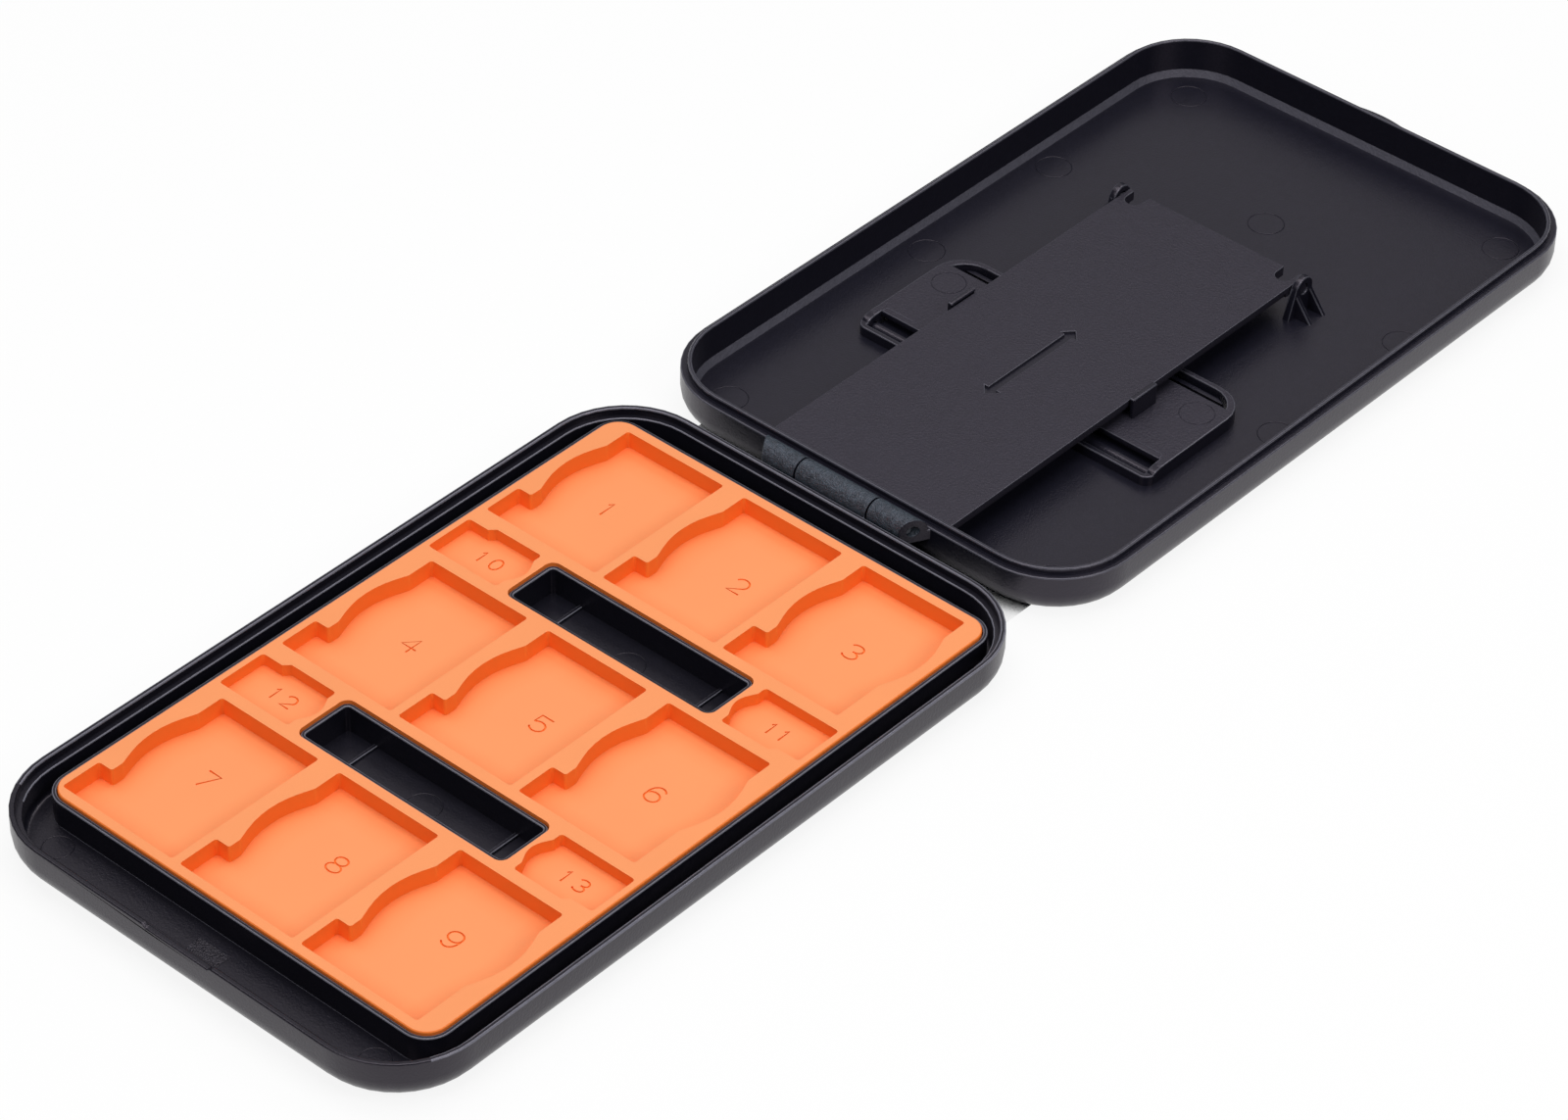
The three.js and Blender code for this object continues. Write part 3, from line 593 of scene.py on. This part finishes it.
# %% Base and lid
TRAY_EDGE = 0.22 * MM
BARREL_REACH = 2.5 * MM
EDGE_STRIP = 0.17 * MM
EDGE_TILT = (0.2, 0.97)
HIGHLIGHT_FROM = -145 * MM
BARREL_END_TILT = 0.5
LID_FLOOR = RIM - 6.67 * MM
SLOPE_TOP = RIM - 5.35 * MM
SLOPE_MARGIN = 30 * MM
SLOPE_MIDDLE = (20 * MM, 130 * MM)
SLOPE_TILT = (0.35, 0.75)
HOUSING_TOP = RIM - 3.9 * MM
ROOF_MARGIN = 0.05 * MM


def beside_barrel(middle):
    return math.hypot(middle.y, middle.z - RIM) < BARREL_REACH


def on_barrel(middle, normal):
    return beside_barrel(middle) and abs(normal.x) < BARREL_END_TILT


def on_slope(middle, normal):
    beside_wall = (
        abs(middle.x) > SLOPE_MARGIN or not SLOPE_MIDDLE[0] < middle.y < SLOPE_MIDDLE[1]
    )
    leaning = SLOPE_TILT[0] < normal.z < SLOPE_TILT[1]
    return LID_FLOOR < middle.z < SLOPE_TOP and leaning and beside_wall


def on_roof(middle, normal):
    return lies_at(HOUSING_TOP, middle, normal, ROOF_MARGIN)


def paint_edge_highlights(obj, material):
    """Gives the strips that round an upper edge, not at the front or a barrel, a painted highlight
    finish.
    """
    obj.data.materials.append(material)
    count = 0
    with editing(obj.data) as shape:
        for face in shape.faces:
            width = 2 * face.calc_area() / face.calc_perimeter()
            middle = face.calc_center_median()
            takes_highlight = middle.y > HIGHLIGHT_FROM and not beside_barrel(middle)
            leaning = EDGE_TILT[0] < face.normal.z < EDGE_TILT[1]
            if takes_highlight and leaning and width < EDGE_STRIP:
                face.material_index = len(obj.data.materials) - 1
                count += 1
    print(obj.name, "painted highlight strips:", count)


base = soften(new_object("black_base_tray", whole_faces(nodes["base_shell"].data)), TRAY_EDGE)
dress(base, tray_abs, "base", "shell_black", "base_shell")
# The barrels get the paler black, partly a painted reflection of the top light.
finish_faces(base, barrel_grain_sheen_abs, on_barrel)
paint_edge_highlights(base, edge_highlight_abs)
lid = soften(new_object("black_lid_tray", whole_faces(nodes["lid_shell"].data)), TRAY_EDGE)
dress(lid, lid_abs, "lid", "lid_black", "lid_shell")
finish_faces(lid, barrel_grain_sheen_abs, on_barrel)
# The slope's paler black is partly grain and partly a painted sheen of the top light.
finish_faces(lid, pale_sheen_grain_abs, on_slope)
finish_faces(lid, plate_abs, on_roof)
paint_edge_highlights(lid, faint_edge_highlight_abs)

# %% [markdown]
# Prop plate
#
# A broad double arrow is sunk into the plate, to show which way it lifts. It is drawn as one
# outline, a shaft with a short head at each end, and cut half a millimetre deep. Its floor is
# left smooth, so it looks a shade darker than the grained plate.

# %% Plate with arrow
PLATE_TOP = RIM - 0.46 * MM
ARROW_X = 0.4 * MM
ARROW_Y = 50.7 * MM
ARROW_HALF = 12.4 * MM
ARROW_HEAD = 1.9 * MM
ARROW_HEAD_HALF = 1.75 * MM
ARROW_SHAFT_HALF = 0.8 * MM
ARROW_DEPTH = 0.5 * MM
PLATE_EDGE = 0.12 * MM


def arrow_cutter():
    neck = ARROW_HALF - ARROW_HEAD
    quarter = [(ARROW_SHAFT_HALF, neck), (ARROW_HEAD_HALF, neck)]
    right = [(x, -y) for x, y in reversed(quarter)] + quarter
    left = [(-x, y) for x, y in reversed(right)]
    loop = [(0.0, -ARROW_HALF)] + right + [(0.0, ARROW_HALF)] + left
    shape = bmesh.new()
    low = [shape.verts.new((ARROW_X + x, ARROW_Y + y, PLATE_TOP - ARROW_DEPTH)) for x, y in loop]
    face = shape.faces.new(low)
    grown = bmesh.ops.extrude_face_region(shape, geom=[face])
    raised = [item for item in grown["geom"] if isinstance(item, bmesh.types.BMVert)]
    bmesh.ops.translate(shape, verts=raised, vec=(0, 0, 2 * ARROW_DEPTH))
    bmesh.ops.recalc_face_normals(shape, faces=shape.faces)
    mesh = bpy.data.meshes.new("arrow_cutter")
    shape.to_mesh(mesh)
    shape.free()
    return mesh


def on_arrow_floor(middle, normal):
    return lies_at(PLATE_TOP - ARROW_DEPTH, middle, normal)


plate = new_object("black_prop_plate", whole_faces(nodes["prop_plate"].data))
cut_away(plate, arrow_cutter())
soften(plate, PLATE_EDGE)
dress(plate, plate_abs, "plate", "plate_black", "prop_plate")
finish_faces(plate, lid_abs, on_arrow_floor)
paint_edge_highlights(plate, faint_edge_highlight_abs)

# %% [markdown]
# Fold-out ledge and pin
#
# The ledge lies behind its housing and only its barrel and hook show from inside. The pin is a
# plain wire with its ends broken by a file.

# %% Ledge and pin
PIN_EDGE = 0.3 * MM

ledge = soften(new_object("black_fold_ledge", whole_faces(nodes["fold_ledge"].data)), TRAY_EDGE)
dress(ledge, lid_abs, "ledge", "ledge_black", "fold_ledge")
pin = soften(new_object("steel_hinge_pin", whole_faces(nodes["hinge_pin"].data)), PIN_EDGE)
dress(pin, pin_steel, "base", "pin_steel", "hinge_pin")

# %% [markdown]
# Ejector marks
#
# Pins push a moulding out of its mould and each one leaves a faint ring. The rings repeat, so
# Geometry Nodes draw one ring and place it on a point for each pin.

# %% Ring tree
MARK_LINE = 0.11 * MM
RING_STEPS = 40
LINE_STEPS = 6


def ring_tree():
    tree = bpy.data.node_groups.new("ejector_rings", "GeometryNodeTree")
    panel = tree.interface
    panel.new_socket("Geometry", in_out="INPUT", socket_type="NodeSocketGeometry")
    panel.new_socket("Ring radius", in_out="INPUT", socket_type="NodeSocketFloat")
    panel.new_socket("Line radius", in_out="INPUT", socket_type="NodeSocketFloat")
    panel.new_socket("Finish", in_out="INPUT", socket_type="NodeSocketMaterial")
    panel.new_socket("Geometry", in_out="OUTPUT", socket_type="NodeSocketGeometry")
    given = add_node(tree, "NodeGroupInput").outputs
    path = add_node(tree, "GeometryNodeCurvePrimitiveCircle", {}, {
        "Resolution": RING_STEPS, "Radius": given["Ring radius"],
    })
    line = add_node(tree, "GeometryNodeCurvePrimitiveCircle", {}, {
        "Resolution": LINE_STEPS, "Radius": given["Line radius"],
    })
    ring = add_node(tree, "GeometryNodeCurveToMesh", {}, {
        "Curve": path.outputs["Curve"], "Profile Curve": line.outputs["Curve"],
    })
    copies = add_node(tree, "GeometryNodeInstanceOnPoints", {}, {
        "Points": given["Geometry"], "Instance": ring.outputs["Mesh"],
    })
    solid = add_node(tree, "GeometryNodeRealizeInstances", {}, {
        "Geometry": copies.outputs["Instances"],
    })
    coloured = add_node(tree, "GeometryNodeSetMaterial", {}, {
        "Geometry": solid.outputs["Geometry"], "Material": given["Finish"],
    })
    add_node(tree, "NodeGroupOutput", {}, {"Geometry": coloured.outputs["Geometry"]})
    return tree


def set_input(modifier, name, value):
    for item in modifier.node_group.interface.items_tree:
        if item.item_type == "SOCKET" and item.in_out == "INPUT" and item.name == name:
            modifier[item.identifier] = value


rings = ring_tree()


def ejector_marks(name, places, z, radius, material, body, slot):
    mesh = bpy.data.meshes.new(name)
    mesh.from_pydata([(x * MM, y * MM, z) for x, y in places], [], [])
    marks = new_object(name, mesh)
    modifier = marks.modifiers.new("rings", "NODES")
    modifier.node_group = rings
    set_input(modifier, "Ring radius", radius)
    set_input(modifier, "Line radius", MARK_LINE)
    set_input(modifier, "Finish", material)
    applied(marks)
    smooth(marks.data)
    dress(marks, material, body, slot)
    print(name, "rings:", len(places))


# %% Place the marks
LID_MARK = 3.35 * MM
ROOF_MARK = 3.15 * MM
WELL_MARK = 3.1 * MM
TROUGH_MARK = 2.6 * MM
BASE_FLOOR = RIM - 6.05 * MM
WELL_FLOOR = RIM - 6.3 * MM

ON_LID = ("lid", "lid_black")
ON_BASE = ("base", "shell_black")

lid_pairs = [(36.15, 142.4), (40.0, 70.4), (40.0, 106.8), (36.6, 13.1)]
lid_places = [(side * x, y) for x, y in lid_pairs for side in (-1, 1)] + [(0.0, 119.35)]
roof_places = [(-28.3, 62.6), (28.3, 62.6)]
trough_places = [(-35.2, -146.1), (35.2, -146.1)]
well_places = [(0.0, -52.5), (0.0, -100.1)]
for name, places, z, radius, finish, carrier in (
    ("lid_ejector_marks", lid_places, LID_FLOOR, LID_MARK, lid_abs, ON_LID),
    ("housing_ejector_marks", roof_places, HOUSING_TOP, ROOF_MARK, plate_abs, ON_LID),
    ("trough_ejector_marks", trough_places, BASE_FLOOR, TROUGH_MARK, tray_abs, ON_BASE),
    ("well_ejector_marks", well_places, WELL_FLOOR, WELL_MARK, tray_abs, ON_BASE),
):
    ejector_marks(name, places, z, radius, finish, *carrier)

# %% [markdown]
# Fine lines of the mould
#
# Where two pieces of a mould meet, the plastic creeps into the joint and leaves a hair line. One
# runs round the foot of the frame, where its core meets the tray's, and a short one lies at each
# end of the housing's roof. They are thin rods, sunk to half their width, in a pale black that
# paints the highlight these small rounded lines catch. A small field in the front trough was
# stippled in the mould and is a thin pad with a grain of its own.

# %% Hair lines and stippled field
LINE_RADIUS = 0.06 * MM
FRAME_HALF = 43.05
FRAME_ENDS = (-142.6, -8.82)
FRAME_R = 4.9
ROOF_LINE_X = (23.8, 31.4)
ROOF_LINE_Y = (47.95, 49.3)
ROOF_LINE_R = 0.6
FIELD_X = (-3.7 * MM, 3.05 * MM)
FIELD_Y = (-148.6 * MM, -145.3 * MM)
FIELD_RISE = 0.05 * MM


def raised(points, z):
    return [(x * MM, y * MM, z) for x, y in points]


def rounded_loop(x0, x1, y0, y1, r):
    left, right, front, back = x0 + r, x1 - r, y0 + r, y1 - r
    centres = [(right, back, 0), (left, back, 90), (left, front, 180), (right, front, 270)]
    return [place for x, y, start in centres for place in arc(x, y, r, r, start, start + 90)]


foot = rounded_loop(-FRAME_HALF, FRAME_HALF, *FRAME_ENDS, FRAME_R)
foot_strokes = [(raised(foot, BASE_FLOOR), True)]
foot_line = new_object("frame_foot_line", rods("foot_rod", foot_strokes, LINE_RADIUS))
dress(foot_line, pale_sheen_grain_abs, *ON_BASE)

roof_strokes = []
for side in (-1, 1):
    (inner, outer), (low, high) = ROOF_LINE_X, ROOF_LINE_Y
    corner = arc(outer - ROOF_LINE_R, high - ROOF_LINE_R, ROOF_LINE_R, ROOF_LINE_R, 90, 0)
    bend = [(inner, high)] + corner + [(outer, low)]
    roof_strokes.append((raised([(side * x, y) for x, y in bend], HOUSING_TOP), False))
roof_line = new_object("housing_roof_line", rods("roof_rods", roof_strokes, LINE_RADIUS))
dress(roof_line, pale_sheen_grain_abs, *ON_LID)

field_shape = bmesh.new()
bmesh.ops.create_cube(field_shape, size=1.0)
for vert in field_shape.verts:
    x = FIELD_X[vert.co.x > 0]
    y = FIELD_Y[vert.co.y > 0]
    vert.co = (x, y, BASE_FLOOR + (FIELD_RISE if vert.co.z > 0 else -FIELD_RISE))
field_mesh = bpy.data.meshes.new("stippled_field")
field_shape.to_mesh(field_mesh)
field_shape.free()
field = new_object("stippled_field", field_mesh)
dress(field, stipple_abs, *ON_BASE)
print("hair lines:", len(foot_line.data.polygons), len(roof_line.data.polygons), "faces")

# %% [markdown]
# Studio
#
# A white table under a soft box. Two lower ones, on the right and in front, shade the sides of the
# slots, and a weak one at the back left is what the black floors mirror. The table's own white is
# mixed with a glow for the camera and for reflections, so it reads as paper white while the case
# keeps its soft shadow. Two strips, at the left and behind, draw the light lines along the rims.
# The crack between the open trays is painted dark, a painted shadow where the table lies in deep
# shade.

# %% Floor
FLOOR_SIZE = 8.0
FLOOR_DROP = 0.2 * MM
FLOOR_GLOW = 0.88
FLOOR_WHITE = "#F4F4F4"
GAP_SHADOW_COLOUR = "#2A2D33"
GAP_REACH = 12 * MM
GAP_DARK = 0.3
GAP_CLEAR = 0.45
GAP_HALF = (37 * MM, 9 * MM)


def table_material():
    material, tree, output = new_material("white_table")
    path = add_node(tree, "ShaderNodeLightPath").outputs
    seen = add_node(tree, "ShaderNodeMath", {"operation": "MAXIMUM"}, {
        0: path["Is Camera Ray"], 1: path["Is Glossy Ray"],
    })
    seen = add_node(tree, "ShaderNodeMath", {"operation": "MAXIMUM"}, {
        0: seen.outputs["Value"], 1: path["Is Transmission Ray"],
    })
    nook = add_node(tree, "ShaderNodeAmbientOcclusion", {"samples": NOOK_SAMPLES}, {
        "Distance": GAP_REACH,
    })
    shade = add_node(tree, "ShaderNodeMapRange", {}, {
        "Value": nook.outputs["AO"], "From Min": GAP_DARK, "From Max": GAP_CLEAR,
        "To Min": 1.0, "To Max": 0.0,
    }).outputs["Result"]
    place = add_node(tree, "ShaderNodeTexCoord").outputs["Object"]
    axes = add_node(tree, "ShaderNodeSeparateXYZ", {}, {"Vector": place})
    for axis, half in zip("XY", GAP_HALF):
        near = add_node(tree, "ShaderNodeMath", {"operation": "COMPARE"}, {
            0: axes.outputs[axis], 1: 0.0, 2: half,
        })
        shade = add_node(tree, "ShaderNodeMath", {"operation": "MULTIPLY"}, {
            0: shade, 1: near.outputs["Value"],
        }).outputs["Value"]
    open_sky = add_node(tree, "ShaderNodeMapRange", {}, {
        "Value": shade, "To Min": FLOOR_GLOW, "To Max": 0.0,
    })
    share = add_node(tree, "ShaderNodeMath", {"operation": "MULTIPLY"}, {
        0: seen.outputs["Value"], 1: open_sky.outputs["Result"],
    })
    # Painted shadow: where occlusion is deep in the crack between the trays, the table turns dark
    # and stops glowing.
    white = add_node(tree, "ShaderNodeMix", {"data_type": "RGBA"}, {
        "Factor": shade, "A": linear(FLOOR_WHITE), "B": linear(GAP_SHADOW_COLOUR),
    })
    paper = add_node(tree, "ShaderNodeBsdfDiffuse", {}, {"Color": white.outputs["Result"]})
    glow = add_node(tree, "ShaderNodeEmission", {}, {"Color": (1, 1, 1, 1), "Strength": 1.0})
    mixed = add_node(tree, "ShaderNodeMixShader", {}, {
        "Fac": share.outputs["Value"], 1: paper.outputs["BSDF"], 2: glow.outputs["Emission"],
    })
    tree.links.new(mixed.outputs["Shader"], output.inputs["Surface"])
    return material


floor_mesh = bpy.data.meshes.new("table")
half = FLOOR_SIZE / 2
corners = [(-half, -half), (half, -half), (half, half), (-half, half)]
floor_mesh.from_pydata([(x, y, -FLOOR_DROP) for x, y in corners], [], [(0, 1, 2, 3)])
floor = new_object("table", floor_mesh)
floor.data.materials.append(table_material())

# %% Lights
WORLD_STRENGTH = 0.09

world = bpy.data.worlds.new("studio")
bpy.context.scene.world = world
world.use_nodes = True
sky = world.node_tree.nodes["Background"].inputs
sky["Color"].default_value = (1, 1, 1, 1)
sky["Strength"].default_value = WORLD_STRENGTH


def soft_box(name, at, size, watts, aim=(0, 0, 0)):
    data = bpy.data.lights.new(name, "AREA")
    data.shape = "RECTANGLE"
    data.size, data.size_y = size
    data.energy = watts
    lamp = bpy.data.objects.new(name, data)
    bpy.context.collection.objects.link(lamp)
    turn = (Vector(aim) - Vector(at)).to_track_quat("-Z", "Y").to_matrix().to_4x4()
    lamp.matrix_world = Matrix.Translation(at) @ turn


soft_box("top_box", at=(0.05, -0.05, 1.05), size=(0.8, 0.8), watts=6.2, aim=(0.05, -0.05, 0))
soft_box("left_strip", at=(-0.66, 0.0, 1.05), size=(0.4, 0.6), watts=1.9)
soft_box("rear_strip", at=(-0.05, 0.75, 1.02), size=(0.6, 0.4), watts=1.9)
soft_box("right_box", at=(0.84, 0.0, 0.7), size=(0.5, 0.45), watts=3.2)
soft_box("front_box", at=(0.0, -0.84, 0.7), size=(0.6, 0.45), watts=2.0)
soft_box("back_box", at=(-0.72, 0.62, 0.69), size=(1.0, 0.9), watts=1.0)
bpy.context.scene.view_settings.view_transform = "Standard"
